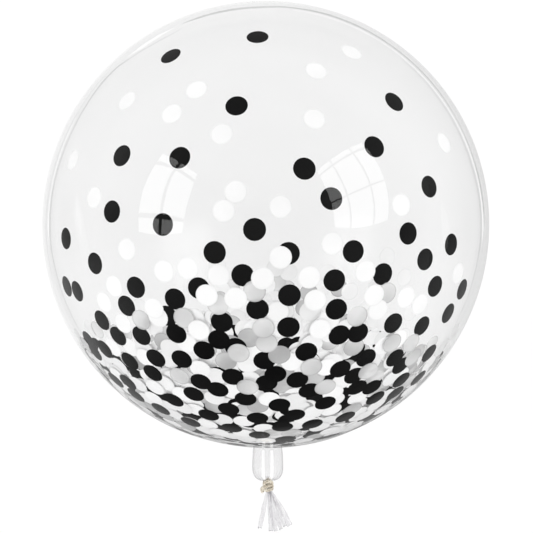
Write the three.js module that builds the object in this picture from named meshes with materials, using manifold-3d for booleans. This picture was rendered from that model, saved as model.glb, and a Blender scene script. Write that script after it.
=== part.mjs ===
// A clear bubble balloon, lying on its side: a round ball of film, its neck tied with twine, and a
// fanned tail. Millimetres, +Z up. The origin is the middle of the small flat spot that it rests on,
// and the neck points along -Y. The ball, neck and tail are one film skin, and the twine is another
// piece. The skin is sealed, so it is a solid here.
import * as THREE from "three";
import * as BufferGeometryUtils from "three/addons/utils/BufferGeometryUtils.js";
import Module from "manifold-3d";

const wasm = await Module();
wasm.setup();

// Ball
const ballRadius = 228;
const flatSpotRadius = 26;
const flatSpotCutDepth = 20;
const ballTurns = 72;
const ballRings = 36;

// Neck, a cup-shaped bulb that rounds in to the tie. Lengths along the neck are from the ball's middle.
const neckX = 2;
const neckStart = 214;
const neckMouthRadius = 14.8;
const bulbRadius = 15.9;
const bulbAt = 250;
const bulbEnd = 262.9;
const bulbLipRadius = 6.6;
const dimpleRadius = 5.4;
const dimpleFloor = 259.8;
const dimpleEase = 0.5;
const dimpleEaseDepth = 0.4;
const dimpleFootEase = 1.4;
const gatherRadius = 1.2;
const gatherEnd = 276;
const neckTurns = 40;

// Tail strips, each from the gather to its own end: across (x), along the neck, up (z), and width
const stripThickness = 0.9;
const stripRoot = 271;
const stripRootWidth = 1.8;
const stripEnds = [
  { x: -7.0, along: 310.6, up: 2.5, width: 5.0 },
  { x: 4.8, along: 314.2, up: -3.5, width: 4.6 },
  { x: 9.3, along: 313.8, up: 1.5, width: 4.6 },
  { x: 14.2, along: 313.0, up: -5.0, width: 4.4 },
  { x: 18.2, along: 308.6, up: 0.0, width: 4.4 },
  { x: 23.0, along: 307.4, up: 4.0, width: 5.4 },
];

// Twine tie: a twine wound round the gather and knotted over it. Each point is across, up and along.
const twineRadius = 1.45;
const twineSides = 8;
const wrapGap = 0.4;
const wrapRadius = gatherRadius + wrapGap + twineRadius;
const wrapPitch = 3.0;
const wrapStart = 261.8;
const wrapTurns = 2;
const wrapSteps = 36;
const wrapSections = 64;
const crossSections = 22;

// The twine runs round the gather from its upper front, two turns down the gather
const wrapPoints = [];
for (let i = 0; i <= wrapSteps; i += 1) {
  const turn = (i / wrapSteps) * wrapTurns;
  const angle = turn * 2 * Math.PI;
  wrapPoints.push([
    wrapRadius * Math.sin(angle),
    wrapRadius * Math.cos(angle),
    wrapStart + turn * wrapPitch,
  ]);
}
const lowStrand = [
  [2.6, 2.2, 268.6],
  [4.4, -0.2, 269.4],
  [3.3, -3.1, 270.0],
  [0, -4.3, 270.4],
  [-3.4, -3.4, 270.9],
  [-5.0, -0.4, 271.7],
  [-4.8, 2.3, 273.0],
  [-4.1, 3.4, 275.0],
];
const crossStrand = [
  [-0.6, 3.1, 263.4],
  [1.4, 4.6, 264.8],
  [2.2, 5.7, 266.4],
  [0.4, 6.2, 268.0],
  [-2.4, 5.6, 268.4],
  [-4.2, 4.2, 269.3],
  [-3.4, 3.5, 271.2],
  [-0.6, 4.2, 272.1],
  [2.4, 4.4, 271.4],
  [4.8, 3.6, 270.3],
];

const filmMaterial = new THREE.MeshStandardMaterial({
  color: 0xe9ecee,
  roughness: 0.05,
  metalness: 0,
  transparent: true,
  opacity: 0.3,
});
const twineMaterial = new THREE.MeshStandardMaterial({ color: 0xa88652, roughness: 0.9, metalness: 0 });

// Vertices nearer than this are the same vertex
const weldDistance = 1e-4;

// The ball's middle stands this high, because the flat spot takes a shallow slice off its underside
const ballHeight = Math.sqrt(ballRadius ** 2 - flatSpotRadius ** 2);

// A closed geometry as a solid, with its shared vertices merged
function solidOf(geometry) {
  const bare = geometry.index ? geometry.toNonIndexed() : geometry.clone();
  bare.deleteAttribute("normal");
  bare.deleteAttribute("uv");
  const merged = BufferGeometryUtils.mergeVertices(bare, weldDistance);
  return new wasm.Manifold(
    new wasm.Mesh({
      numProp: 3,
      vertProperties: new Float32Array(merged.attributes.position.array),
      triVerts: new Uint32Array(merged.index.array),
    }),
  );
}

// A solid as a named mesh
function meshOf(name, solid, material) {
  const { vertProperties, triVerts } = solid.getMesh();
  const geometry = new THREE.BufferGeometry();
  geometry.setAttribute("position", new THREE.BufferAttribute(vertProperties, 3));
  geometry.setIndex(new THREE.BufferAttribute(triVerts, 1));
  geometry.computeVertexNormals();
  const mesh = new THREE.Mesh(geometry, material);
  mesh.name = name;
  return mesh;
}

// A point by its distance across, up and along from the ball's middle, on the neck's own axis
function neckPoint(across, up, along) {
  return new THREE.Vector3(neckX + across, -along, ballHeight + up);
}

// The round ball, with its poles on the neck's line
function ball() {
  const profile = [];
  for (let i = 0; i <= ballRings; i += 1) {
    const angle = -Math.PI / 2 + (i / ballRings) * Math.PI;
    const onAxis = i === 0 || i === ballRings;
    profile.push(new THREE.Vector2(onAxis ? 0 : ballRadius * Math.cos(angle), ballRadius * Math.sin(angle)));
  }
  const geometry = new THREE.LatheGeometry(profile, ballTurns);
  geometry.translate(0, 0, ballHeight);
  return solidOf(geometry);
}

// The neck: straight sides that swell to the bulb, a quarter ellipse in to the lip, a dimple round the
// tie, and the gathered film that runs through the tie
function neck() {
  const profile = [
    [0, neckStart],
    [neckMouthRadius, neckStart],
    [neckMouthRadius, ballRadius],
  ];
  const swellSteps = 5;
  for (let i = 1; i <= swellSteps; i += 1) {
    const part = i / swellSteps;
    const swell = (bulbRadius - neckMouthRadius) * Math.sin((part * Math.PI) / 2);
    profile.push([neckMouthRadius + swell, ballRadius + (bulbAt - ballRadius) * part]);
  }
  const roundSteps = 8;
  const roundDepth = bulbEnd - bulbAt;
  for (let i = 1; i <= roundSteps; i += 1) {
    const angle = (i / roundSteps) * (Math.PI / 2);
    const inward = (bulbRadius - bulbLipRadius) * (1 - Math.cos(angle));
    profile.push([bulbRadius - inward, bulbAt + roundDepth * Math.sin(angle)]);
  }
  profile.push(
    [dimpleRadius + dimpleEase, bulbEnd - dimpleEaseDepth],
    [dimpleRadius, bulbEnd - dimpleFootEase],
    [dimpleRadius - dimpleEase, dimpleFloor + dimpleEaseDepth],
    [dimpleRadius - dimpleFootEase, dimpleFloor],
    [gatherRadius, dimpleFloor],
    [gatherRadius, gatherEnd],
    [0, gatherEnd],
  );
  const points = profile.map(([radius, along]) => new THREE.Vector2(radius, -along)).reverse();
  const geometry = new THREE.LatheGeometry(points, neckTurns);
  geometry.translate(neckX, 0, ballHeight);
  return solidOf(geometry);
}

// One flat strip of the tail, from the gather to its end, which it widens towards
function strip({ x, along, up, width }) {
  const start = neckPoint(0, 0, stripRoot);
  const end = new THREE.Vector3(x, -along, ballHeight + up);
  const length = start.distanceTo(end);
  const outline = new THREE.Shape();
  outline.moveTo(-stripRootWidth / 2, 0);
  outline.lineTo(-width / 2, -length);
  outline.lineTo(width / 2, -length);
  outline.lineTo(stripRootWidth / 2, 0);
  outline.closePath();
  const geometry = new THREE.ExtrudeGeometry(outline, { depth: stripThickness, bevelEnabled: false });
  geometry.translate(0, 0, -stripThickness / 2);
  const down = new THREE.Vector3(0, -1, 0);
  const turn = new THREE.Quaternion().setFromUnitVectors(down, end.clone().sub(start).normalize());
  geometry.applyQuaternion(turn);
  geometry.translate(start.x, start.y, start.z);
  return solidOf(geometry);
}

// The slice under the ball that leaves the flat spot
function underFlatSpot() {
  const side = 4 * flatSpotRadius;
  const geometry = new THREE.BoxGeometry(side, side, flatSpotCutDepth);
  geometry.translate(0, 0, -flatSpotCutDepth / 2);
  return solidOf(geometry);
}

function filmSkin() {
  let skin = ball().add(neck());
  for (const end of stripEnds) {
    skin = skin.add(strip(end));
  }
  return meshOf("film_skin", skin.subtract(underFlatSpot()), filmMaterial);
}

// A round twine along a smooth curve through the points
function twineAlong(points, steps) {
  const curve = new THREE.CatmullRomCurve3(points.map(([across, up, along]) => neckPoint(across, up, along)));
  const section = new THREE.Shape();
  for (let i = 0; i < twineSides; i += 1) {
    const angle = (i / twineSides) * 2 * Math.PI;
    const corner = [twineRadius * Math.cos(angle), twineRadius * Math.sin(angle)];
    if (i === 0) {
      section.moveTo(...corner);
    } else {
      section.lineTo(...corner);
    }
  }
  section.closePath();
  return solidOf(new THREE.ExtrudeGeometry(section, { steps, extrudePath: curve, curveSegments: 1 }));
}

function twineTie() {
  const wraps = twineAlong([...wrapPoints, ...lowStrand], wrapSections);
  const cross = twineAlong(crossStrand, crossSections);
  return meshOf("twine_tie", wraps.add(cross), twineMaterial);
}

const balloon = new THREE.Group();
balloon.add(filmSkin(), twineTie());

export default balloon;
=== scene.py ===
# A clear bubble balloon with round confetti in it, lying on its side on a pale studio floor.
# The ball rests on its flat spot at the origin, the neck points along -Y, and the camera looks down.
import math

import bpy
import numpy as np
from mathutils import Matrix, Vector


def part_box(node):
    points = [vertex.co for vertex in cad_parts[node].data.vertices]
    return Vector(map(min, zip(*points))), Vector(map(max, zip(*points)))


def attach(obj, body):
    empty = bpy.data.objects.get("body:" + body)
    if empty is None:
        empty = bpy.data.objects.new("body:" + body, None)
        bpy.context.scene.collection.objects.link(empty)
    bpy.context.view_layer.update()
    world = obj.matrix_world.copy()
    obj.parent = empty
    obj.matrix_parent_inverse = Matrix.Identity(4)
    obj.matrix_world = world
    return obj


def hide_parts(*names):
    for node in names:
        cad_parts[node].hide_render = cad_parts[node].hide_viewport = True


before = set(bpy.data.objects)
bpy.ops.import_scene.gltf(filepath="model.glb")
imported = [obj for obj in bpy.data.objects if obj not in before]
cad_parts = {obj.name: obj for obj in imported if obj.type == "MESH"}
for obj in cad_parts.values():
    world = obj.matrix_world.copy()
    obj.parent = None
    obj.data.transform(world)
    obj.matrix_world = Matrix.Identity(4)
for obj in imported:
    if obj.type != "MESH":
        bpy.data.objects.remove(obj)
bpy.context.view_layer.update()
mm = 0.001

skinLow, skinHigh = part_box("film_skin")
ballRadius = (skinHigh.x - skinLow.x) / 2
ballHeight = skinHigh.z - ballRadius      # how high the ball's middle stands
ballMiddle = np.array([0.0, 0.0, ballHeight])
print("frame loaded")


# Camera. It looks down on the ball from the photograph's distance, so that the ball fills the same circle.
view = {
    "pictureSide": 533,            # pixels
    "ballAcross": 446.9,           # the ball's width in the picture, in pixels
    "ballAt": (265.8, 225.1),      # the ball's middle in the picture, in pixels
    "distance": 8.0,               # from the camera to the ball's middle, in ball radii
    "sensor": 36.0,
}
focalPixels = view["ballAcross"] / 2 * math.sqrt(view["distance"] ** 2 - 1)
cameraHeight = ballHeight + view["distance"] * ballRadius
offRight = view["pictureSide"] / 2 - view["ballAt"][0]
offDown = view["pictureSide"] / 2 - view["ballAt"][1]

cameraData = bpy.data.cameras.new("studioCamera")
cameraData.sensor_width = view["sensor"]
cameraData.lens = view["sensor"] * focalPixels / view["pictureSide"]
cameraData.clip_end = 50
camera = bpy.data.objects.new("studioCamera", cameraData)
camera.location = (0, 0, cameraHeight)
camera.rotation_euler = (-math.atan(offDown / focalPixels), -math.atan(offRight / focalPixels), 0)
bpy.context.scene.collection.objects.link(camera)
bpy.context.scene.camera = camera
bpy.context.scene.view_settings.view_transform = "Standard"
print("camera placed")


# Mesh helpers
# A mesh object from an array of points, an array of quads, and triangles for its poles.
def addMesh(name, points, quads, fans=(), smooth=True):
    mesh = bpy.data.meshes.new(name)
    faces = [tuple(quad) for quad in quads.tolist()]
    faces += [tuple(fan) for fan in np.array(fans, int).reshape(-1, 3).tolist()]
    mesh.from_pydata(points.tolist(), [], faces)
    mesh.polygons.foreach_set("use_smooth", [smooth] * len(mesh.polygons))
    mesh.update()
    piece = bpy.data.objects.new(name, mesh)
    bpy.context.scene.collection.objects.link(piece)
    return piece


# Angles once round, in equal steps.
def onceRound(count):
    return np.linspace(0, 2 * math.pi, count, endpoint=False)


# Vectors made one long.
def unit(vectors):
    return vectors / np.linalg.norm(vectors, axis=-1, keepdims=True)


# Quads between neighbouring rings of points, closed around, for a grid of rows by columns.
def ringFaces(rows, columns):
    row, column = np.meshgrid(np.arange(rows - 1), np.arange(columns), indexing="ij")
    here = row * columns + column
    beside = row * columns + (column + 1) % columns
    return np.stack([here, here + columns, beside + columns, beside], axis=-1).reshape(-1, 4)


# Triangles that close the first ring to one pole and the last ring to another.
def capFans(rows, columns, firstPole, lastPole):
    column = np.arange(columns)
    beside = (column + 1) % columns
    last = (rows - 1) * columns
    start = np.stack([np.full(columns, firstPole), column, beside], axis=-1)
    end = np.stack([np.full(columns, lastPole), last + beside, last + column], axis=-1)
    return np.vstack([start, end])


# Closed tubes as one mesh. Each is rings of points, rows by columns by 3, and gets a pole at the middle of
# each end.
def closedTubes(name, tubes):
    points, quads, fans, first = [], [], [], 0
    for tube in tubes:
        rows, columns = tube.shape[:2]
        count = rows * columns
        points += [tube.reshape(-1, 3), tube[0].mean(axis=0)[None], tube[-1].mean(axis=0)[None]]
        quads.append(ringFaces(rows, columns) + first)
        fans.append(capFans(rows, columns, count, count + 1) + first)
        first += count + 2
    return addMesh(name, np.vstack(points), np.vstack(quads), np.vstack(fans))


# A number at each vertex, which materials read by its name.
def addAttribute(piece, name, values):
    layer = piece.data.attributes.new(name, "FLOAT", "POINT")
    layer.data.foreach_set("value", np.asarray(values, np.float32))


# The piece gets its material, rides on the one body, and takes the place of a CAD node where one is named.
def finishPiece(piece, material, replaced=None):
    piece.data.materials.append(material)
    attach(piece, "root")
    if replaced:
        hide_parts(replaced)
    return piece


# Node helpers
# A node with its settings, and each named input set to a value or joined to a socket.
def addNode(tree, kind, settings=None, **inputs):
    node = tree.nodes.new(kind)
    for key, value in (settings or {}).items():
        setattr(node, key, value)
    for key, value in inputs.items():
        socket = node.inputs[int(key[1:])] if key[0] == "_" else node.inputs[key.replace("_", " ")]
        if isinstance(value, bpy.types.NodeSocket):
            tree.links.new(value, socket)
        else:
            socket.default_value = value
    return node


def maths(tree, operation, a, b=0.0, c=0.0):
    return addNode(tree, "ShaderNodeMath", {"operation": operation}, _0=a, _1=b, _2=c).outputs[0]


def vectorMaths(tree, operation, a, b=(0, 0, 0)):
    return addNode(tree, "ShaderNodeVectorMath", {"operation": operation}, _0=a, _1=b).outputs["Vector"]


def scaled(tree, vector, scale):
    node = addNode(tree, "ShaderNodeVectorMath", {"operation": "SCALE"}, Vector=vector, Scale=scale)
    return node.outputs["Vector"]


def mixColour(tree, share, a, b):
    return addNode(tree, "ShaderNodeMix", {"data_type": "RGBA"}, _0=share, _6=a, _7=b).outputs[2]


# A piece's own number at each point of its surface.
def attributeOf(tree, name):
    return addNode(tree, "ShaderNodeAttribute", {"attribute_name": name}).outputs["Fac"]


def newMaterial(name):
    material = bpy.data.materials.new(name)
    material.use_nodes = True
    material.node_tree.nodes.clear()
    return material, material.node_tree


def endMaterial(tree, shader):
    output = tree.nodes.new("ShaderNodeOutputMaterial")
    tree.links.new(shader, output.inputs["Surface"])


# A colour ramp with (place, grey or colour) stops.
def ramp(tree, factor, stops):
    node = tree.nodes.new("ShaderNodeValToRGB")
    tree.links.new(factor, node.inputs[0])
    band = node.color_ramp
    while len(band.elements) < len(stops):
        band.elements.new(0.5)
    for element, (place, colour) in zip(band.elements, stops):
        element.position = place
        element.color = (*colour, 1) if isinstance(colour, tuple) else (colour, colour, colour, 1)
    return node.outputs["Color"]


# Shared effect: fine fibres or grain. It gives a mask and a height that change over the surface.
def buildGrainGroup():
    group = bpy.data.node_groups.new("fineGrain", "ShaderNodeTree")
    for name, start in (("Scale", 400.0), ("Stretch", 1.0)):
        socket = group.interface.new_socket(name, in_out="INPUT", socket_type="NodeSocketFloat")
        socket.default_value = start
    group.interface.new_socket("Mask", in_out="OUTPUT", socket_type="NodeSocketFloat")
    group.interface.new_socket("Height", in_out="OUTPUT", socket_type="NodeSocketFloat")
    given = group.nodes.new("NodeGroupInput")
    result = group.nodes.new("NodeGroupOutput")
    place = group.nodes.new("ShaderNodeTexCoord").outputs["Object"]
    stretched = addNode(group, "ShaderNodeCombineXYZ", X=1.0, Y=given.outputs["Stretch"], Z=1.0)
    spot = vectorMaths(group, "MULTIPLY", place, stretched.outputs[0])
    fine = addNode(group, "ShaderNodeTexNoise", Vector=spot, Scale=given.outputs["Scale"], Detail=4.0)
    broadScale = maths(group, "MULTIPLY", given.outputs["Scale"], 0.12)
    broad = addNode(group, "ShaderNodeTexNoise", Vector=place, Scale=broadScale, Detail=2.0)
    group.links.new(broad.outputs[0], result.inputs["Mask"])
    group.links.new(fine.outputs[0], result.inputs["Height"])
    return group


fineGrain = buildGrainGroup()


def addGrain(tree, scale, stretch=1.0):
    node = tree.nodes.new("ShaderNodeGroup")
    node.node_tree = fineGrain
    node.inputs["Scale"].default_value = scale
    node.inputs["Stretch"].default_value = stretch
    return node.outputs["Mask"], node.outputs["Height"]


# Clear film
film = {
    "ior": 1.5,
    "clearness": 0.965,
    "rippleScale": 14.0,
    "rippleDepth": 0.004,          # mm
    "outerRoughness": 0.012,
    "innerRoughness": 0.2,
    "neckHaze": 0.065,             # how milky the film of the neck is, seen square on
    "edgeHaze": 8.0,               # how many times more so edge on
    "mostHaze": 0.8,
    "hazeRoughness": 0.35,
    "highlightHaze": 0.75,              # the two painted highlight bands down the neck
    "bandsAt": (-0.297, 0.266),    # in parts of the neck's radius
    "bandFade": (0.03, 0.22),      # from the middle of a highlight band to its edge
    "tailHaze": 0.16,
    "tailStreak": 0.5,
    "tailPatch": 0.1,
}


# Clear film: what is behind shows through, a little dimmed, under a mirror that grows at grazing angles by
# Fresnel's law, the same from both sides.
def filmMaterial(name, haze):
    material, tree = newMaterial(name)
    side = tree.nodes.new("ShaderNodeNewGeometry").outputs["Backfacing"]
    bend = maths(tree, "MULTIPLY_ADD", side, 1 / film["ior"] - film["ior"], film["ior"])
    ripple = addNode(
        tree, "ShaderNodeTexNoise",
        Vector=tree.nodes.new("ShaderNodeTexCoord").outputs["Object"], Scale=film["rippleScale"], Detail=0.0,
    )
    bump = addNode(
        tree, "ShaderNodeBump",
        Height=ripple.outputs[0], Strength=1.0, Distance=film["rippleDepth"] * mm,
    )
    lit = maths(tree, "SUBTRACT", 1.0, tree.nodes.new("ShaderNodeLightPath").outputs["Is Shadow Ray"])
    share = maths(tree, "MULTIPLY", addNode(tree, "ShaderNodeFresnel", IOR=bend).outputs[0], lit)
    clear = addNode(tree, "ShaderNodeBsdfTransparent", Color=(*[film["clearness"]] * 3, 1))
    square, colour = haze(tree)
    facing = addNode(tree, "ShaderNodeLayerWeight", Blend=0.5).outputs["Facing"]
    edge = maths(tree, "MULTIPLY_ADD", maths(tree, "POWER", facing, 3.0), film["edgeHaze"] - 1, 1.0)
    amount = maths(tree, "MINIMUM", maths(tree, "MULTIPLY", square, edge), film["mostHaze"])
    milky = addNode(
        tree, "ShaderNodeBsdfPrincipled",
        Base_Color=colour, Roughness=film["hazeRoughness"], Normal=bump.outputs[0],
    )
    body = addNode(
        tree, "ShaderNodeMixShader", _0=amount, _1=clear.outputs[0], _2=milky.outputs[0]
    ).outputs[0]
    outer, inner = film["outerRoughness"], film["innerRoughness"]
    mirror = addNode(
        tree, "ShaderNodeBsdfPrincipled", Base_Color=(1, 1, 1, 1), Metallic=1.0,
        Roughness=maths(tree, "MULTIPLY_ADD", side, inner - outer, outer), Normal=bump.outputs[0],
    )
    mixed = addNode(tree, "ShaderNodeMixShader", _0=share, _1=body, _2=mirror.outputs[0])
    endMaterial(tree, mixed.outputs[0])
    return material


# Film skin: a surface turned about the neck's line, r(s) from the ball's far pole to the gather in the tie
skin = {
    "turns": 320,
    "neckX": 2.0,            # the neck's line stands this far to the right of the ball's middle
    "mouthRadius": 14.8,     # where the neck leaves the ball
    "mouthFillet": 1.2,
    "bulbRadius": 15.9,
    "bulbAt": 250.0,         # along the neck, from the ball's middle
    "bulbEnd": 262.9,
    "lipRadius": 6.6,
    "dimpleRadius": 5.4,     # the film turns in round the tie
    "dimpleFloor": 259.8,
    "gatherRadius": 1.2,
    "gatherEnd": 276.0,
    "pleats": 17,
    "pleatDepth": 0.05,      # in parts of the radius
    "tiedPleatDepth": 0.07,  # and this much more in the tie
    "asideOver": (205.0, 226.0),    # along the neck, from the ball's line to the neck's
    "hazeOver": (226.0, 229.0),     # and from the ball's clear film to the neck's milky film
    "bandOver": (228.0, 231.0),     # and from no highlight bands to the painted highlight bands
    "rows": {"ball": 170, "fillet": 7, "swell": 24, "bulb": 22, "gather": 22},
}


# Radius and distance along the neck, in mm: a circle arc, a fillet, a sine swell, a quarter ellipse, a
# turned-in dimple and a straight gather.
def skinProfile():
    radius = ballRadius / mm
    mouth, fillet = skin["mouthRadius"], skin["mouthFillet"]
    # The fillet's circle touches the ball outside and the neck's side
    filletAlong = math.sqrt((radius + fillet) ** 2 - (mouth + fillet) ** 2)
    touch = math.asin((mouth + fillet) / (radius + fillet))
    rows = skin["rows"]
    arc = np.linspace(0.004, math.pi - touch, rows["ball"])
    pieces = [(radius * np.sin(arc), -radius * np.cos(arc))]
    bend = np.linspace(math.pi / 2 - touch, 0, rows["fillet"])[1:]
    pieces.append((mouth + fillet - fillet * np.cos(bend), filletAlong - fillet * np.sin(bend)))
    part = np.linspace(0, 1, rows["swell"])[1:]
    swell = (skin["bulbRadius"] - mouth) * np.sin(part * math.pi / 2)
    pieces.append((mouth + swell, filletAlong + (skin["bulbAt"] - filletAlong) * part))
    turn = np.linspace(0, math.pi / 2, rows["bulb"])[1:]
    inward = (skin["bulbRadius"] - skin["lipRadius"]) * (1 - np.cos(turn))
    bulb, end = skin["bulbAt"], skin["bulbEnd"]
    pieces.append((skin["bulbRadius"] - inward, bulb + (end - bulb) * np.sin(turn)))
    dimple, floor, gather = skin["dimpleRadius"], skin["dimpleFloor"], skin["gatherRadius"]
    tuck = np.array([
        (dimple + 0.9, end - 0.1), (dimple + 0.4, end - 0.5), (dimple, end - 1.4),
        (dimple - 0.5, floor + 0.5), (dimple - 1.4, floor), (gather + 1.2, floor), (gather + 0.3, floor + 0.1),
    ])
    pieces.append((tuck[:, 0], tuck[:, 1]))
    along = np.linspace(floor + 0.7, skin["gatherEnd"], rows["gather"])
    pieces.append((np.full(rows["gather"], gather), along))
    return np.concatenate([piece[0] for piece in pieces]), np.concatenate([piece[1] for piece in pieces])


# 3t^2 - 2t^3, where t goes from 0 at low to 1 at high.
def smoothStep(x, low, high):
    t = np.clip((x - low) / (high - low), 0, 1)
    return t * t * (3 - 2 * t)


# x = neckX + r sin(turn), y = -s, z = middle + r cos(turn), with r rippled by pleats towards the tie and z
# never under the flat spot.
def buildFilmSkin():
    radius, along = skinProfile()
    turn = onceRound(skin["turns"])
    rise = smoothStep(along, skin["bulbAt"], skin["bulbEnd"] + 1)[:, None]
    inTie = smoothStep(along, skin["bulbEnd"], skin["bulbEnd"] + 3)[:, None] * (radius < 3)[:, None]
    wave = np.cos(skin["pleats"] * turn + 1.4 * np.sin(3 * turn))[None, :]
    r = radius[:, None] * (1 + rise * (skin["pleatDepth"] + skin["tiedPleatDepth"] * inTie) * wave)
    offset = skin["neckX"] * smoothStep(along, *skin["asideOver"])[:, None]
    x = (offset + r * np.sin(turn)[None, :]) * mm
    y = np.broadcast_to(-along[:, None] * mm, x.shape)
    z = np.maximum(ballHeight + r * np.cos(turn)[None, :] * mm, 0.0)
    piece = closedTubes("film_skin_clear", [np.stack([x, y, z], axis=-1)])
    # Two bands down the neck's front are whitened: painted highlights
    inHighlight = sum(1 - smoothStep(np.abs(np.sin(turn) - at), *film["bandFade"]) for at in film["bandsAt"])
    band = smoothStep(along, *skin["bandOver"])[:, None] * (inHighlight * (np.cos(turn) > 0))[None, :]
    inNeck = smoothStep(along, *skin["hazeOver"]) * (1 - 0.8 * (radius < skin["lipRadius"] + 0.1))
    haze = inNeck[:, None] * (film["neckHaze"] + band * (film["highlightHaze"] - film["neckHaze"]))
    addAttribute(piece, "haze", np.append(haze.reshape(-1), [0, film["neckHaze"]]))
    addAttribute(piece, "band", np.append(band.reshape(-1), [0, 0]))
    return piece


# How milky the skin is, and its milky colour, which is whiter in the painted highlight bands.
def skinHaze(tree):
    band = attributeOf(tree, "band")
    # the whiter milky colour in the two bands is a painted highlight
    colour = ramp(tree, band, [(0.0, (0.47, 0.46, 0.48)), (0.9, (0.96, 0.96, 0.96))])
    return attributeOf(tree, "haze"), colour


finishPiece(buildFilmSkin(), filmMaterial("clearFilm", skinHaze), "film_skin")
print("film skin built")


# Film tail: the gathered film below the tie, fanned out as narrow folded strips
tail = {
    "root": 271.0,
    "rootWidth": 2.6,
    "rootAside": 0.9,        # to the right of the neck's line
    "thickness": 0.12,
    "columns": 20,
    "rows": 40,
    # across and up at the end, how far along, width, pleat depth, pleats, bow to one side
    "strips": [
        (-6.2, 2.5, 312.6, 5.0, 0.3, 1.0, -0.5),
        (5.4, -3.5, 316.4, 5.0, 0.6, 1.5, 0.3),
        (10.2, 1.5, 316.0, 4.8, 0.7, 2.0, -0.6),
        (15.4, -5.0, 315.0, 4.6, 0.6, 1.5, 0.5),
        (20.0, 0.0, 310.8, 4.8, 0.7, 2.0, 0.7),
        (25.4, 4.0, 309.4, 5.6, 0.5, 1.5, 0.4),
    ],
}


# A flat closed tube: its section is (w/2 cos a, t/2 sin a) with a cosine pleat, carried from the tie to the
# strip's end, with a bow, a small twist and a ragged end.
def buildStrip(endX, endUp, endAlong, width, pleatDepth, pleats, bow, seed):
    rows, columns = tail["rows"], tail["columns"]
    t = np.linspace(0, 1, rows)[:, None]
    a = onceRound(columns)[None, :]
    start = np.array([skin["neckX"] + tail["rootAside"], -tail["root"], 0.0])
    end = np.array([endX, -endAlong, endUp])
    across = unit(np.array([-(end - start)[1], (end - start)[0], 0.0]))
    forward = unit(end - start)
    outward = np.cross(across, forward)
    wide = tail["rootWidth"] + (width - tail["rootWidth"]) * np.minimum(t * 1.6, 1) ** 0.8
    crinkle = 1 + 0.06 * np.sin(29 * t + 5 * seed) * np.sin(11 * t + seed)
    crinkle = crinkle + 0.04 * np.sin(19 * t * t + 3 * seed)
    side = wide / 2 * np.cos(a) * crinkle
    side = side + 0.35 * t * np.sin(8 * t + 3 * seed) + 0.07 * np.sin(21 * t + seed)
    fold = pleatDepth * t * np.cos(2 * math.pi * pleats * side / width + seed)
    rise = fold + tail["thickness"] / 2 * np.sin(a)
    twist = 0.5 * math.sin(seed * 2.3) * t ** 2
    lean = side * np.cos(twist) - rise * np.sin(twist) + bow * np.sin(math.pi * t)
    lift = side * np.sin(twist) + rise * np.cos(twist)
    ragged = 0.5 * np.sin(side * 3.1 + seed) + 0.35 * np.sin(side * 7.7 + 2 * seed) - 0.5
    reach = np.linalg.norm(end - start) * t + ragged * smoothStep(t, 0.9, 1.0)
    points = start + lean[..., None] * across + lift[..., None] * outward + reach[..., None] * forward
    points[..., 2] = points[..., 2] * mm + ballHeight
    points[..., :2] *= mm
    return points


# The tail is milky in streaks along it.
def tailHaze(tree):
    mask, height = addGrain(tree, 420.0, 0.2)
    start = film["tailHaze"] - (film["tailStreak"] + film["tailPatch"]) / 2
    streak = maths(tree, "MULTIPLY_ADD", height, film["tailStreak"], start)
    return maths(tree, "MULTIPLY_ADD", mask, film["tailPatch"], streak), (0.66, 0.64, 0.68, 1)


strips = [buildStrip(*strip, seed=1.0 + 1.7 * i) for i, strip in enumerate(tail["strips"])]
finishPiece(closedTubes("film_tail", strips), filmMaterial("tailFilm", tailHaze), "film_skin")
print("film tail built")


# Twine tie: two turns round the gather, one loose turn, and a knot over the front, in mm from the neck's
# line: across, up and along
twine = {
    "wraps": 2,
    "wrapRadius": 3.05,
    "wrapPitch": 3.0,
    "wrapStart": 261.8,
    "step": 0.35,            # between the rings of a ply
    "plies": 3,
    "plyRadius": 0.9,
    "plyAway": 0.98,         # from the twine's middle to each ply's
    "plySides": 10,
    "lay": 9.0,              # one full twist of the plies
    "fibreShare": 0.7,       # how many fibres leave the twine for each step along it
    "fibreLength": (0.8, 2.6),
    "fibreLean": (0.3, 1.2),
    "fibreRadius": 0.055,
    "seed": 5,
    "lowStrand": [
        (2.6, 2.2, 268.6), (4.6, -0.2, 269.4), (3.5, -3.1, 270.0), (0, -4.4, 270.4), (-3.8, -3.4, 270.9),
        (-5.9, -0.4, 271.9), (-6.0, 2.3, 273.4), (-4.8, 3.6, 275.4),
    ],
    "crossStrand": [
        (-3.6, 4.4, 267.0), (-3.4, 8.6, 264.6), (-1.0, 12.0, 262.8), (2.4, 11.8, 262.9), (4.2, 8.6, 264.9),
        (3.8, 7.6, 266.8), (1.2, 7.8, 267.4), (-2.4, 6.0, 268.8), (-4.8, 4.4, 270.0), (-3.8, 3.8, 272.0),
        (-0.6, 4.5, 272.8), (2.8, 4.6, 272.0), (5.4, 3.6, 270.7),
    ],
}


# A Catmull-Rom curve through the points, as evenly spaced points: 0.5 (2b + (c-a)t + (2a-5b+4c-d)t^2 +
# (3b-a-3c+d)t^3) between b and c.
def smoothPath(points, step):
    p = np.array(points, float)
    p = np.vstack([2 * p[0] - p[1], p, 2 * p[-1] - p[-2]])
    a, b, c, d = (p[k:len(p) - 3 + k, None, :] for k in range(4))
    t = np.linspace(0, 1, 40, endpoint=False)[None, :, None]
    square = (2 * a - 5 * b + 4 * c - d) * t ** 2
    curve = 0.5 * (2 * b + (c - a) * t + square + (3 * b - a - 3 * c + d) * t ** 3)
    curve = np.vstack([curve.reshape(-1, 3), p[-2][None]])
    length = np.append(0, np.cumsum(np.linalg.norm(np.diff(curve, axis=0), axis=1)))
    even = np.linspace(0, length[-1], int(length[-1] / step) + 1)
    return np.stack([np.interp(even, length, curve[:, k]) for k in range(3)], axis=-1), even


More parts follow.
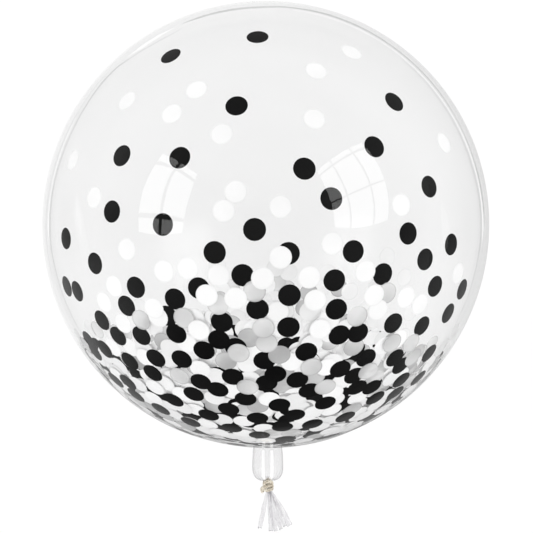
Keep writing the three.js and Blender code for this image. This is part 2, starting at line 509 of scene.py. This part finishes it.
# Rings round one ply: its middle winds round the twine's own line, which it follows by a frame made from
# the direction away from the neck's line.
def plyRings(path, length, phase):
    forward = unit(np.gradient(path, axis=0))
    away = path * [1, 1, 0] + [0, 0, 1e-3]
    away = unit(away - (away * forward).sum(axis=1)[:, None] * forward)
    side = np.cross(forward, away)
    wind = 2 * math.pi * length / twine["lay"] + phase
    out = np.cos(wind)[:, None] * away + np.sin(wind)[:, None] * side
    middle = path + twine["plyAway"] * out
    a = onceRound(twine["plySides"])[None, :, None]
    taper = np.minimum(1, 0.55 + np.minimum(length, length[-1] - length) / 1.2)[:, None, None]
    cross = np.cross(forward, out)
    section = np.cos(a) * out[:, None, :] + np.sin(a) * cross[:, None, :]
    return middle[:, None, :] + taper * twine["plyRadius"] * section


# Loose fibres: thin three-sided tapered tubes that leave the twine sideways and curl.
def fibres(path, count, dice):
    at = dice.integers(2, len(path) - 2, count)
    base = path[at]
    forward = unit(path[at + 1] - path[at - 1])
    out = dice.normal(size=(count, 3))
    out = unit(out - (out * forward).sum(axis=1)[:, None] * forward)
    length = dice.uniform(*twine["fibreLength"], count)[:, None, None]
    t = np.linspace(0, 1, 5)[None, :, None]
    lean = dice.uniform(*twine["fibreLean"], count)[:, None, None]
    lean = lean * dice.choice([-1, 1], count)[:, None, None]
    spine = base[:, None, :] + out[:, None, :] * (1.2 + length * t * 0.6)
    spine = spine + forward[:, None, :] * length * lean * t ** 1.6
    a = onceRound(3)[None, None, :, None]
    thick = (twine["fibreRadius"] * (1.15 - t))[..., None]
    cross = np.cross(out, forward)[:, None, None, :]
    return spine[:, :, None, :] + thick * (np.cos(a) * forward[:, None, None, :] + np.sin(a) * cross)


# The plies and fibres of both strands as one mesh.
def buildTwine():
    turns = np.linspace(0, twine["wraps"], twine["wraps"] * 18 + 1)
    wraps = np.stack([
        twine["wrapRadius"] * np.sin(2 * math.pi * turns),
        twine["wrapRadius"] * np.cos(2 * math.pi * turns),
        twine["wrapStart"] + turns * twine["wrapPitch"],
    ], axis=-1)
    strands = [np.vstack([wraps, twine["lowStrand"]]), twine["crossStrand"]]
    routes = [smoothPath(strand, twine["step"]) for strand in strands]
    tubes = [plyRings(path, length, phase) for path, length in routes for phase in onceRound(twine["plies"])]
    dice = np.random.default_rng(twine["seed"])
    for path, _ in routes:
        tubes.extend(fibres(path, int(len(path) * twine["fibreShare"]), dice))
    placed = [
        np.stack([(skin["neckX"] + p[..., 0]) * mm, -p[..., 2] * mm, ballHeight + p[..., 1] * mm], axis=-1)
        for p in tubes
    ]
    return closedTubes("twine_knot", placed)


# Jute: pale straw with darker fibres, rough, with fine fibre relief.
def twineMaterial():
    material, tree = newMaterial("juteTwine")
    mask, height = addGrain(tree, 1000.0, 0.6)
    mixed = maths(tree, "MULTIPLY_ADD", height, 0.75, maths(tree, "MULTIPLY", mask, 0.25))
    straw = [(0.36, (0.17, 0.11, 0.06)), (0.46, (0.5, 0.44, 0.34)), (0.62, (0.82, 0.78, 0.69))]
    colour = ramp(tree, mixed, straw)
    bump = addNode(tree, "ShaderNodeBump", Height=height, Strength=0.6, Distance=0.2 * mm)
    shader = addNode(
        tree, "ShaderNodeBsdfPrincipled", Base_Color=colour, Roughness=0.85, Normal=bump.outputs[0]
    )
    shader.inputs["Sheen Weight"].default_value = 0.3
    endMaterial(tree, shader.outputs[0])
    return material


finishPiece(buildTwine(), twineMaterial(), "twine_tie")
print("twine tied")


# Confetti. The discs that stand clear in the photograph are placed by their pixels there, on the near side of
# the ball. The heap behind and below them is strewn by a seeded rule.
confetti = {
    "radius": 10.5,
    "thickness": 0.12,
    "rim": 20,               # corners round each disc
    "skinGap": 0.35,         # between the film and the first layer
    "layerGap": 0.3,
    "mostLean": 0.008,
    "mostCurl": 0.1,
    "apart": 13.0,           # between the middles of the discs that cover the heap
    "seed": 11,
    "strewn": 1150,
    "edge": 53.0,            # how far from the neck the heap reaches at the sides, in degrees
    "edgeClimb": 19.0,       # and how much further on the near and far sides
    "coverInset": (4.0, 8.0),       # how far inside that edge the cover stays, on the left and on the right
    "paleFrom": 58.0,               # degrees from the neck past which the heap has no black discs
    "blackest": 42.0,               # and within which it has most
    "blackByNeck": 0.37,            # share of black discs there
    "blackNear": (0.05, 0.04),      # on the near side, and how much more on its left
    "blackFar": (0.17, 0.07),       # and on the far side
    "whiteShare": 0.7,              # of the ones that aren't black
    "clearTones": (0.75, 1.0),      # tones of the discs that stand clear, from dark (0) to light (1)
    "shadedHeapTones": (0.0, 0.85),       # and of those in the heap, darker as painted shade
    "paperSlope": 0.2,              # how much a disc's tone may change across it
    # on foil discs this change across each disc is a painted reflection
    "foilReflectionSlope": 0.7,
    # the middles of discs in the picture, in pixels
    "white": [
        (280, 257), (206, 295), (351, 51), (316, 70), (196, 89), (126, 100), (171, 113), (314, 118),
        (221, 133), (444, 142), (72, 159), (235, 191), (93, 197), (401, 204), (280, 206), (223, 210),
        (332, 243), (126, 249), (365, 271), (262, 278), (163, 271), (187, 268), (218, 275), (309, 277),
        (235, 298), (153, 308), (157, 317), (113, 286), (315, 300), (320, 329), (198, 330), (406, 297),
        (122, 323), (103, 302), (420, 304), (374, 295), (378, 310), (458, 273),
    ],
    "black": [
        (257, 36), (170, 55), (394, 101), (236, 105), (374, 146), (121, 155), (179, 157), (304, 168),
        (429, 186), (331, 198), (111, 211), (162, 224), (254, 229), (408, 233), (65, 238), (451, 244),
        (214, 252), (353, 251), (288, 253), (425, 259), (94, 263), (383, 274), (242, 275), (334, 280),
        (435, 286), (66, 286), (76, 291), (462, 289), (135, 287), (198, 288), (289, 295), (174, 299),
        (125, 306), (257, 309), (336, 309), (448, 313), (166, 316), (101, 320), (221, 322), (393, 323),
        (288, 327), (422, 326), (175, 334), (339, 335), (358, 333), (140, 336), (117, 336), (218, 340),
        (88, 340), (203, 351), (235, 348), (104, 349), (94, 352), (306, 352), (429, 353), (181, 359),
        (366, 358), (395, 358), (129, 361), (155, 358), (264, 361), (401, 366), (340, 369), (152, 373),
        (275, 375), (297, 380), (354, 376), (232, 377), (418, 378), (115, 380), (401, 380), (127, 382),
        (200, 382), (266, 384), (357, 388), (372, 388), (217, 390), (309, 391), (395, 393), (193, 394),
        (135, 395), (375, 398), (245, 399), (173, 400), (325, 403), (279, 405), (228, 409), (160, 409),
        (208, 415), (294, 415), (345, 417), (257, 418), (190, 422), (312, 424), (282, 427), (231, 428),
        (259, 435), (285, 439),
    ],
    "whiteBehind": [(387, 256), (404, 277)],      # on the far side
    "whiteUnder": [(277, 312)],                   # under the black ones
    "silver": [
        (254, 291), (217, 304), (183, 318), (140, 320), (263, 328), (266, 343), (387, 293), (357, 316),
        (392, 343), (411, 343), (311, 367), (279, 355), (238, 353), (413, 357), (368, 371), (179, 376),
        (247, 387), (325, 387),
    ],
}


# Directions from the ball's middle to where the camera's rays through the middles of the pixels meet its near
# side, or its far side, and the rays.
def onBall(pixels, side=-1):
    p = np.array(pixels, float) + 0.5 - view["pictureSide"] / 2
    ray = np.stack([p[:, 0], -p[:, 1], np.full(len(p), -focalPixels)], axis=-1)
    ray = unit(ray @ np.array(camera.rotation_euler.to_matrix()).T)
    eye = np.array([0, 0, view["distance"]])
    reach = -ray @ eye + side * np.sqrt((ray @ eye) ** 2 - eye @ eye + 1)
    return eye + reach[:, None] * ray, ray


# Seeded directions: crowded round the neck up to an edge that climbs on the near and far sides, thinning
# past it, and clear at the far end.
def strewn(dice, count):
    height = dice.uniform(-1, 1, count * 12)
    turn = dice.uniform(0, 2 * math.pi, count * 12)
    wide = np.sqrt(1 - height ** 2)
    way = np.stack([wide * np.sin(turn), height, wide * np.cos(turn)], axis=-1)
    fromNeck = np.degrees(np.arccos(-way[:, 1]))
    pastEdge = fromNeck - confetti["edge"] - confetti["edgeClimb"] * np.abs(way[:, 2]) ** 2.2
    crowd = np.interp(pastEdge, [-12, -5, 0, 5, 10, 14], [1, 0.85, 0.45, 0.2, 0.04, 0])
    crowd = np.where((way[:, 2] > 0.2) & (pastEdge > 3), 0, crowd)
    return way[dice.uniform(size=len(way)) < crowd][:count]


# How many discs lie between each disc and the film: one more than the deepest one that it covers.
def layersOf(way):
    reach = math.cos(2 * confetti["radius"] * mm / ballRadius)
    near = way @ way.T > reach
    layer = np.zeros(len(way), int)
    for i in range(1, len(way)):
        under = layer[:i][near[i, :i]]
        layer[i] = under.max() + 1 if len(under) else 0
    return layer


# Thin closed discs that follow the film: each point is (x, y) on a disc laid on a sphere of the layer's
# radius, with a slight lean and curl, and two middle points make its two faces.
def discMesh(name, way, layer, dice):
    count, rim = len(way), confetti["rim"]
    pole = np.where(np.abs(way[:, 1:2]) > 0.9, [[1.0, 0, 0]], [[0, 1.0, 0]])
    east = unit(np.cross(pole, way))
    north = np.cross(way, east)
    a = onceRound(rim)
    x = np.append(np.cos(a), [0, 0])[None, :] * confetti["radius"]
    y = np.append(np.sin(a), [0, 0])[None, :] * confetti["radius"]
    half = np.append(np.zeros(rim), [0.5, -0.5])[None, :] * confetti["thickness"]
    lean = dice.uniform(0, confetti["mostLean"], count)[:, None] * np.minimum(layer, 1)[:, None]
    curl = dice.uniform(0, confetti["mostCurl"], count)[:, None] * np.minimum(layer, 1)[:, None]
    turn = dice.uniform(0, 2 * math.pi, count)[:, None]
    along = x * np.cos(turn) + y * np.sin(turn)
    slack = lean * (confetti["radius"] - along) + curl * (1 - (along / confetti["radius"]) ** 2)
    depth = confetti["skinGap"] + confetti["layerGap"] * layer[:, None] + slack
    flat = way[:, None, :] * ballRadius / mm + x[..., None] * east[:, None, :]
    flat = unit(flat + y[..., None] * north[:, None, :])
    points = flat * (ballRadius / mm - depth + half)[..., None] * mm + ballMiddle
    points[..., 2] = np.maximum(points[..., 2], (depth - half) * mm)      # the flat spot
    corner = np.arange(rim)
    beside = (corner + 1) % rim
    top = np.stack([corner, beside, np.full(rim, rim)], axis=-1)
    bottom = np.stack([beside, corner, np.full(rim, rim + 1)], axis=-1)
    one = np.vstack([top, bottom])
    faces = (one[None] + (np.arange(count) * (rim + 2))[:, None, None]).reshape(-1, 3)
    piece = addMesh(name, points.reshape(-1, 3), np.zeros((0, 4), int), faces, smooth=False)
    # Discs deeper in the heap, or by the neck where it is blackest, get the darker heap tones: painted shade
    # under the discs in front
    clearTone, shadedHeapTone = (dice.uniform(*confetti[tones], count) for tones in ("clearTones", "shadedHeapTones"))
    pale = np.where((layer < 2) & ~byNeck(way), clearTone, shadedHeapTone)
    # across foil discs the tone changes as a painted reflection; across paper ones only slightly
    slope = dice.uniform(0, confetti["foilReflectionSlope"] if "silver" in name else confetti["paperSlope"], count)
    tone = pale[:, None] + slope[:, None] * along / confetti["radius"]
    addAttribute(piece, "tone", tone.reshape(-1))
    # marks each disc's rim, where the material paints shade
    addAttribute(piece, "cutEdge", np.tile(np.append(np.ones(rim), [0, 0]), count))
    return piece


# Cut paper or foil: each disc has its own tone between dark and light, with painted shade deeper in the heap
# and a painted reflection across foil, and painted shade at its cut edge, under a fine grain.
def confettiMaterial(name, dark, light, roughness, metallic, relief, shine=0.5, cover=1.0):
    material, tree = newMaterial(name)
    tone = attributeOf(tree, "tone")
    mask, height = addGrain(tree, 900.0)
    edge = attributeOf(tree, "cutEdge")
    # painted shade: each disc is darkened along its cut edge
    paintedEdgeShade = maths(tree, "MULTIPLY", maths(tree, "GREATER_THAN", edge, 0.9), -0.45)
    toned = maths(tree, "MULTIPLY_ADD", tone, 0.9, -0.05)
    shade = maths(tree, "ADD", paintedEdgeShade, maths(tree, "MULTIPLY_ADD", mask, 0.24, toned))
    colour = ramp(tree, shade, [(0.0, dark), (1.0, light)])
    bump = addNode(tree, "ShaderNodeBump", Height=height, Strength=0.5, Distance=relief * mm)
    shader = addNode(
        tree, "ShaderNodeBsdfPrincipled",
        Base_Color=colour, Roughness=roughness, Metallic=metallic, Normal=bump.outputs[0],
    )
    shader.inputs["Specular IOR Level"].default_value = shine
    shader.inputs["Alpha"].default_value = cover
    endMaterial(tree, shader.outputs[0])
    return material


# Seeded pale discs that lie over the heap's front, in gaps between the black ones: each keeps "apart" from
# the placed discs and from the others.
def coverDiscs(dice, taken):
    pixels = dice.uniform(0, view["pictureSide"], (6000, 2))
    away = np.linalg.norm(pixels - view["ballAt"], axis=1) / (view["ballAcross"] / 2)
    way, _ = onBall(pixels[away < 0.98])
    fromNeck = np.degrees(np.arccos(-way[:, 1]))
    edge = confetti["edge"] + confetti["edgeClimb"] * np.abs(way[:, 2]) ** 2.2
    way = way[fromNeck < edge - np.where(way[:, 0] < 0, *confetti["coverInset"])]
    reach = math.cos(confetti["apart"] * mm / ballRadius)
    for candidate in way:
        if (taken @ candidate).max() < reach:
            taken = np.vstack([taken, candidate])
    return taken


# Which directions are near the neck, where the heap is blackest.
def byNeck(way):
    return way[:, 1] < -math.cos(math.radians(confetti["blackest"]))


# 0 white, 1 black or 2 silver by chance, where dark is the share of black ones
def someKinds(dice, dark):
    chance = dice.uniform(size=len(dark))
    return np.where(chance < dark, 1, np.where(chance < dark + (1 - dark) * confetti["whiteShare"], 0, 2))


# All discs in one order, from the ones against the film to the deepest of the heap, and one piece of each
# colour.
def buildConfetti():
    dice = np.random.default_rng(confetti["seed"])
    heap = strewn(dice, confetti["strewn"])
    white, black, silver = (onBall(confetti[colour])[0] for colour in ("white", "black", "silver"))
    behind = onBall(confetti["whiteBehind"], 1)[0]
    under = onBall(confetti["whiteUnder"])[0]
    known = np.vstack([white, black, silver, under])
    cover = coverDiscs(dice, known)[len(known):]
    groups = [(white, 0), (behind, 0), (silver, 2), (black, 1), (under, 0), (cover, None), (heap, None)]
    way = np.vstack([group for group, _ in groups])
    # The far fringe of the heap is pale, its right is paler than its left, and it is blackest by the neck
    fringe = heap[:, 1] > -math.cos(math.radians(confetti["paleFrom"]))
    left = smoothStep(-heap[:, 0], -0.2, 0.2)
    near, far = (start + more * left for start, more in (confetti["blackNear"], confetti["blackFar"]))
    dark = np.where(fringe, 0, np.where(heap[:, 2] > 0.1, near, far))
    heapKind = someKinds(dice, np.where(byNeck(heap), confetti["blackByNeck"], dark))
    coverKind = someKinds(dice, np.zeros(len(cover)))
    kinds = np.concatenate([
        heapKind if group is heap else coverKind if group is cover else np.full(len(group), kind)
        for group, kind in groups
    ])
    layer = layersOf(way)
    finishes = [
        ("white_confetti", confettiMaterial("whitePaper", 0.71, 0.83, 0.6, 0.0, 0.03)),
        ("black_confetti", confettiMaterial("blackPaper", 0.002, 0.004, 0.6, 0.0, 0.03, 0.06)),
        ("silver_confetti", confettiMaterial("silverFoil", 0.5, 0.8, 0.32, 0.15, 0.02, 0.5, 0.62)),
    ]
    for k, (name, material) in enumerate(finishes):
        chosen = kinds == k
        discs = finishPiece(discMesh(name + "_discs", way[chosen], layer[chosen], dice), material)
        discs.visible_shadow = False      # the thin discs barely dim each other
        discs.visible_diffuse = name != "black_confetti"      # nor do the black ones dim bounced light
        print(name, int(chosen.sum()), "discs, deepest layer", int(layer[chosen].max()))


buildConfetti()
print("confetti strewn")


# Studio: a pale floor, a soft light above, a plain sky, and two tall windows that only reflections show
studio = {
    "floorSide": 30.0,
    "floorColour": 0.2,      # how much of the light that falls on the floor comes back
    "floorGlow": 0.77,       # the rest of the floor's brightness, which no shadow dims
    "keySide": 2.6,
    "keyHeight": 2.9,
    "keyPower": 7.6,
    "skyLow": 2.35,          # how brightly the sky lights things from the horizon
    "skyHigh": 0.72,         # and from overhead
    "windowGlow": 2.5,
    "windowAway": 2.6,       # metres from the film, along the reflected ray
    "panePoints": 7,         # along each side of a pane
    "rightDimmer": 0.24,     # how much dimmer reflections find the floor on the right
    "lineStep": 0.5,         # degrees along the mirrored lines
    "lineTaper": 5.0,
    # how bright reflections find the room round the balloon, from behind it (0) by its sides to the front (1)
    "farRound": [
        (0.0, 0.5), (0.25, 0.9), (0.38, 1.0), (0.47, 0.55), (0.53, 0.55), (0.62, 1.0), (0.76, 1.0),
        (0.83, 0.6), (0.9, 0.25), (1.0, 0.12),
    ],
    "nearRound": [(0.0, 1.0), (0.75, 1.0), (0.86, 0.75), (1.0, 0.45)],
    # how bright they find the floor by its distance in parts of 6 ball radii: a darker ring lies to the left
    # and right
    "ringReach": 6,
    "ringInner": [(0.0, 1.0), (0.188, 0.97), (0.23, 0.9), (0.25, 0.82), (0.283, 0.76)],
    "ringAhead": [(0.308, 0.78), (0.333, 0.78), (0.36, 0.7)],
    "ringBeside": [(0.303, 0.56), (0.33, 0.46), (0.362, 0.5)],
    "ringOuter": [(0.403, 0.6), (0.467, 0.6), (0.65, 0.5), (1.0, 0.45)],
    # and the sky, from the horizon (0) to overhead (1)
    "skyAside": [(0.0, 0.45), (0.3, 0.25), (0.6, 0.1), (1.0, 0.0)],
    "skyAbove": [(0.3, 0.0), (0.75, 0.1), (1.0, 0.17)],
    "skySeen": 0.985,
}


# Each window's face in the picture: pixels at its left, middle and right, for its top, middle and bottom,
# and where its bars cross it
leftWindow = {
    "face": [
        [(163, 151), (181, 161), (198.5, 173.5)],
        [(141.5, 189), (165, 190), (189, 202)],
        [(137, 233), (159, 237), (183, 233)],
    ],
    "across": (0, 0.5, 1),
    "down": (0, 0.155, 0.8, 1),
    "bar": 0.032,
}
rightWindow = {
    "face": [
        [(315.5, 170.5), (336.5, 153.5), (361, 141)],
        [(330, 203), (356.5, 190.5), (385, 179)],
        [(333, 227), (359.5, 228.5), (387.5, 221)],
    ],
    "across": (0, 0.32, 0.74, 1),
    "down": (0, 0.075, 0.5, 0.99),
    "bar": 0.015,
}


# Fine lines and soft patches that the ball mirrors into its rim and sides: painted reflections, made by dark
# and
# glowing ribbons on the floor that only reflections see. Each is a ribbon on the floor, given by where it is
# seen:
# degrees round the ball from the right, share of the ball's radius, and half its width in pixels.
mirroredLines = {
    "topDark": (0.0, [
        (0, 0.977, 0.2), (4, 0.9757, 0.6), (10, 0.9743, 0.75), (20, 0.9747, 0.35), (30, 0.9767, 0.3),
        (38, 0.978, 0.55), (50, 0.979, 0.6), (60, 0.981, 0.7), (75, 0.983, 0.8), (86, 0.981, 0.7),
        (92, 0.977, 0.9), (100, 0.978, 1.0), (113, 0.9785, 0.9),
    ]),
    "rightDark": (0.0, [
        (-28, 0.953, 0.2), (-20, 0.9553, 0.4), (-10, 0.958, 0.5), (-4, 0.961, 0.7), (4, 0.961, 0.7),
        (16, 0.957, 0.7), (34, 0.957, 0.45), (52, 0.961, 0.3),
    ]),
    "leftDark": (0.05, [
        (113, 0.96, 0.4), (117, 0.955, 0.5), (122, 0.957, 0.5), (128, 0.963, 0.4), (133, 0.973, 0.7),
        (138, 0.974, 0.8), (145, 0.97, 0.6), (153, 0.966, 0.5), (160, 0.965, 0.6), (172, 0.968, 0.7),
        (180, 0.968, 0.8), (187, 0.967, 0.6), (194, 0.963, 0.5), (204, 0.96, 0.4), (214, 0.956, 0.3),
    ]),
    "rightBright": (1.1, [
        (-6, 0.968, 0.3), (0, 0.969, 0.6), (8, 0.9685, 0.55), (18, 0.967, 0.5), (30, 0.967, 0.5),
        (40, 0.968, 0.5), (50, 0.969, 0.45), (68, 0.971, 0.4), (84, 0.973, 0.3),
    ]),
    "topStreak": (1.2, [(115, 0.977, 0.4), (120, 0.975, 1.2), (125, 0.974, 1.3), (130, 0.978, 0.3)]),
    "leftBright": (1.1, [
        (150, 0.978, 0.3), (160, 0.9755, 0.45), (170, 0.975, 0.3), (180, 0.9757, 0.6), (186, 0.975, 0.3),
    ]),
    "leftOuter": (0.55, [
        (134, 0.986, 0.3), (148, 0.984, 0.4), (165, 0.984, 0.4), (183, 0.986, 0.5), (197, 0.984, 0.3),
    ]),
    # soft painted reflections on the left, right and upper film
    "leftSoftReflection": (0.62, [(171, 0.86, 3.5), (178, 0.84, 4.5), (187, 0.82, 4.5), (194, 0.83, 4.0)]),
    "leftGlow": (0.95, [(172, 0.855, 2.0), (178, 0.84, 2.2), (184, 0.827, 2.0)]),
    "rightSoftReflection": (0.55, [(-8, 0.81, 3.0), (0, 0.8, 3.5), (8, 0.79, 3.0)]),
    "upperSoftReflection": (0.5, [(44, 0.92, 1.2), (50, 0.922, 1.8), (54, 0.94, 1.2)]),
}


# A ramp by direction round the balloon, from behind it (0) to in front of it (1).
def rampRound(tree, place, stops):
    heading = vectorMaths(tree, "NORMALIZE", vectorMaths(tree, "MULTIPLY", place, (1, 1, 0)))
    forward = addNode(tree, "ShaderNodeSeparateXYZ", Vector=heading).outputs["Y"]
    return ramp(tree, maths(tree, "MULTIPLY_ADD", forward, -0.5, 0.5), stops)


# Leaves a piece to be seen in reflections only.
def hideFromEye(piece):
    piece.visible_camera = piece.visible_shadow = piece.visible_diffuse = piece.visible_transmission = False


def glowMaterial(name, glowing):
    material, tree = newMaterial(name + "Glow")
    glow = addNode(tree, "ShaderNodeEmission", Color=(1, 1, 1, 1), Strength=glowing)
    endMaterial(tree, glow.outputs[0])
    return material


# Where the camera's rays through the pixels meet the ball, and where they go from there: d - 2 (d.n) n, with
# d the ray and n the ball's normal.
def mirroredAt(pixels):
    way, ray = onBall(pixels)
    return way * ballRadius + ballMiddle, ray - 2 * (ray * way).sum(axis=1)[:, None] * way


# A ribbon either side of a line on the ball, each point of it followed along its mirrored ray to the floor.
def buildMirroredLine(name, glowing, seen, lift):
    polar = np.array(seen)
    turn = np.arange(polar[0, 0], polar[-1, 0], studio["lineStep"])
    reach = np.interp(turn, polar[:, 0], polar[:, 1]) * view["ballAcross"] / 2
    middle = np.stack([reach * np.cos(np.radians(turn)), -reach * np.sin(np.radians(turn))], axis=-1)
    forward = unit(np.gradient(middle, axis=0))
    side = np.stack([-forward[:, 1], forward[:, 0]], axis=-1)
    fromEnd = np.minimum(turn - turn[0], turn[-1] - turn)
    half = np.sqrt(np.clip(fromEnd / studio["lineTaper"], 0.02, 1)) * np.interp(turn, polar[:, 0], polar[:, 2])
    edges = np.stack([middle - half[:, None] * side, middle + half[:, None] * side], axis=1).reshape(-1, 2)
    start, out = mirroredAt(edges + view["ballAt"])
    points = start - out * ((start[:, 2] - lift) / out[:, 2])[:, None]
    here = np.arange(len(middle) - 1) * 2
    ribbon = addMesh(name, points, np.stack([here, here + 1, here + 3, here + 2], axis=-1), smooth=False)
    ribbon.data.materials.append(glowMaterial(name, glowing))
    hideFromEye(ribbon)


# A pale sheet that the eye sees as plain, and whose brightness in reflections changes over it.
def buildFloor():
    side = studio["floorSide"] / 2
    points = side * np.array([(-1, -1, 0), (1, -1, 0), (1, 1, 0), (-1, 1, 0)], float)
    floor = addMesh("studio_floor", points, np.array([[0, 1, 2, 3]]), smooth=False)
    material, tree = newMaterial("paleFloor")
    place = tree.nodes.new("ShaderNodeTexCoord").outputs["Object"]
    away = addNode(tree, "ShaderNodeVectorMath", {"operation": "LENGTH"}, _0=place).outputs["Value"]
    radii = maths(tree, "DIVIDE", away, ballRadius * studio["ringReach"])
    across = addNode(tree, "ShaderNodeSeparateXYZ", Vector=place).outputs["X"]
    toRight = maths(tree, "DIVIDE", across, away)
    ahead, beside = (
        ramp(tree, radii, studio["ringInner"] + studio[key] + studio["ringOuter"])
        for key in ("ringAhead", "ringBeside")
    )
    share = maths(tree, "MULTIPLY", toRight, toRight)
    ring = mixColour(tree, share, ahead, beside)
    dimmer = maths(tree, "MULTIPLY_ADD", maths(tree, "MAXIMUM", toRight, 0.0), -studio["rightDimmer"], 1.0)
    past = maths(tree, "MAXIMUM", maths(tree, "MULTIPLY_ADD", radii, 10.0, -4.2), 0.0)
    far = maths(tree, "MINIMUM", past, 1.0)
    near, distant = (rampRound(tree, place, studio[key]) for key in ("nearRound", "farRound"))
    seen = scaled(tree, vectorMaths(tree, "MULTIPLY", ring, mixColour(tree, far, near, distant)), dimmer)
    mirrored = tree.nodes.new("ShaderNodeLightPath").outputs["Is Glossy Ray"]
    matt = addNode(tree, "ShaderNodeBsdfDiffuse", Color=(*[studio["floorColour"]] * 3, 1))
    glow = addNode(tree, "ShaderNodeEmission", Strength=studio["floorGlow"])
    plain = addNode(tree, "ShaderNodeAddShader", _0=matt.outputs[0], _1=glow.outputs[0])
    reflected = addNode(tree, "ShaderNodeEmission", Color=seen)
    shader = addNode(
        tree, "ShaderNodeMixShader", _0=mirrored, _1=plain.outputs[0], _2=reflected.outputs[0]
    )
    endMaterial(tree, shader.outputs[0])
    floor.data.materials.append(material)
    floor.location.z = -0.0002      # just clear of the flat spot


# Weights of the three points of a quadratic curve at 0, 1/2 and 1.
def quadratic(t):
    return np.stack([2 * (t - 0.5) * (t - 1), 4 * t * (1 - t), 2 * t * (t - 0.5)], axis=-1)


# Panes of a tall window, hung where the ball mirrors them into the picture. The window's face is a 3 by 3
# quadratic patch of pixels, each pane is a patch of it between two bars, and each corner goes out from the
# ball along its mirrored ray.
def buildWindow(name, shape):
    grid = np.array(shape["face"], float)
    side = studio["panePoints"]
    steps = np.linspace(0, 1, side)
    row, column = np.meshgrid(np.arange(side - 1), np.arange(side - 1), indexing="ij")
    corner = (row * side + column).reshape(-1)
    points, quads, first = [], [], 0
    for left, right in zip(shape["across"][:-1], shape["across"][1:]):
        for top, bottom in zip(shape["down"][:-1], shape["down"][1:]):
            s = left + shape["bar"] + (right - left - 2 * shape["bar"]) * steps
            t = top + shape["bar"] * 0.8 + (bottom - top - 1.6 * shape["bar"]) * steps
            pixels = np.einsum("ia,jb,abk->ijk", quadratic(t), quadratic(s), grid).reshape(-1, 2)
            start, out = mirroredAt(pixels)
            points.append(start + out * studio["windowAway"])
            here = corner + first
            quads.append(np.stack([here, here + 1, here + side + 1, here + side], axis=-1))
            first += side * side
    window = addMesh(name, np.vstack(points), np.vstack(quads), smooth=False)
    window.data.materials.append(glowMaterial(name, studio["windowGlow"]))
    hideFromEye(window)


# One wide soft light overhead, which reflections don't show.
def buildLights():
    keyData = bpy.data.lights.new("keyLight", "AREA")
    keyData.size = studio["keySide"]
    keyData.energy = studio["keyPower"]
    key = bpy.data.objects.new("keyLight", keyData)
    key.location = (0, 0, studio["keyHeight"])
    key.visible_glossy = key.visible_camera = False
    bpy.context.scene.collection.objects.link(key)


# Plain pale to the eye, and for reflections darker overhead than at the horizon.
def buildSky():
    world = bpy.data.worlds.new("studioSky")
    bpy.context.scene.world = world
    world.use_nodes = True
    tree = world.node_tree
    tree.nodes.clear()
    direction = tree.nodes.new("ShaderNodeTexCoord").outputs["Generated"]
    rise = addNode(tree, "ShaderNodeSeparateXYZ", Vector=direction).outputs["Z"]
    low = ramp(tree, rise, studio["skyAside"])
    aside = vectorMaths(tree, "MULTIPLY", low, rampRound(tree, direction, studio["farRound"]))
    high = ramp(tree, rise, studio["skyAbove"])
    dim = vectorMaths(tree, "ADD", aside, high)
    path = tree.nodes.new("ShaderNodeLightPath")
    soft = ramp(tree, rise, [(0.0, 1.0), (1.0, studio["skyHigh"] / studio["skyLow"])])
    strong = scaled(tree, soft, studio["skyLow"])
    fill = mixColour(tree, path.outputs["Is Camera Ray"], strong, (*[studio["skySeen"]] * 3, 1))
    seen = mixColour(tree, path.outputs["Is Glossy Ray"], fill, dim)
    plain = addNode(tree, "ShaderNodeBackground", Color=seen, Strength=1.0)
    output = tree.nodes.new("ShaderNodeOutputWorld")
    tree.links.new(plain.outputs[0], output.inputs["Surface"])


buildFloor()
buildWindow("leftWindow", leftWindow)
buildWindow("rightWindow", rightWindow)
for order, (lineName, (glowing, seenAt)) in enumerate(mirroredLines.items()):
    buildMirroredLine(lineName, glowing, seenAt, (order + 1) * 0.5 * mm)      # each just above the last
buildLights()
buildSky()
print("studio lit")
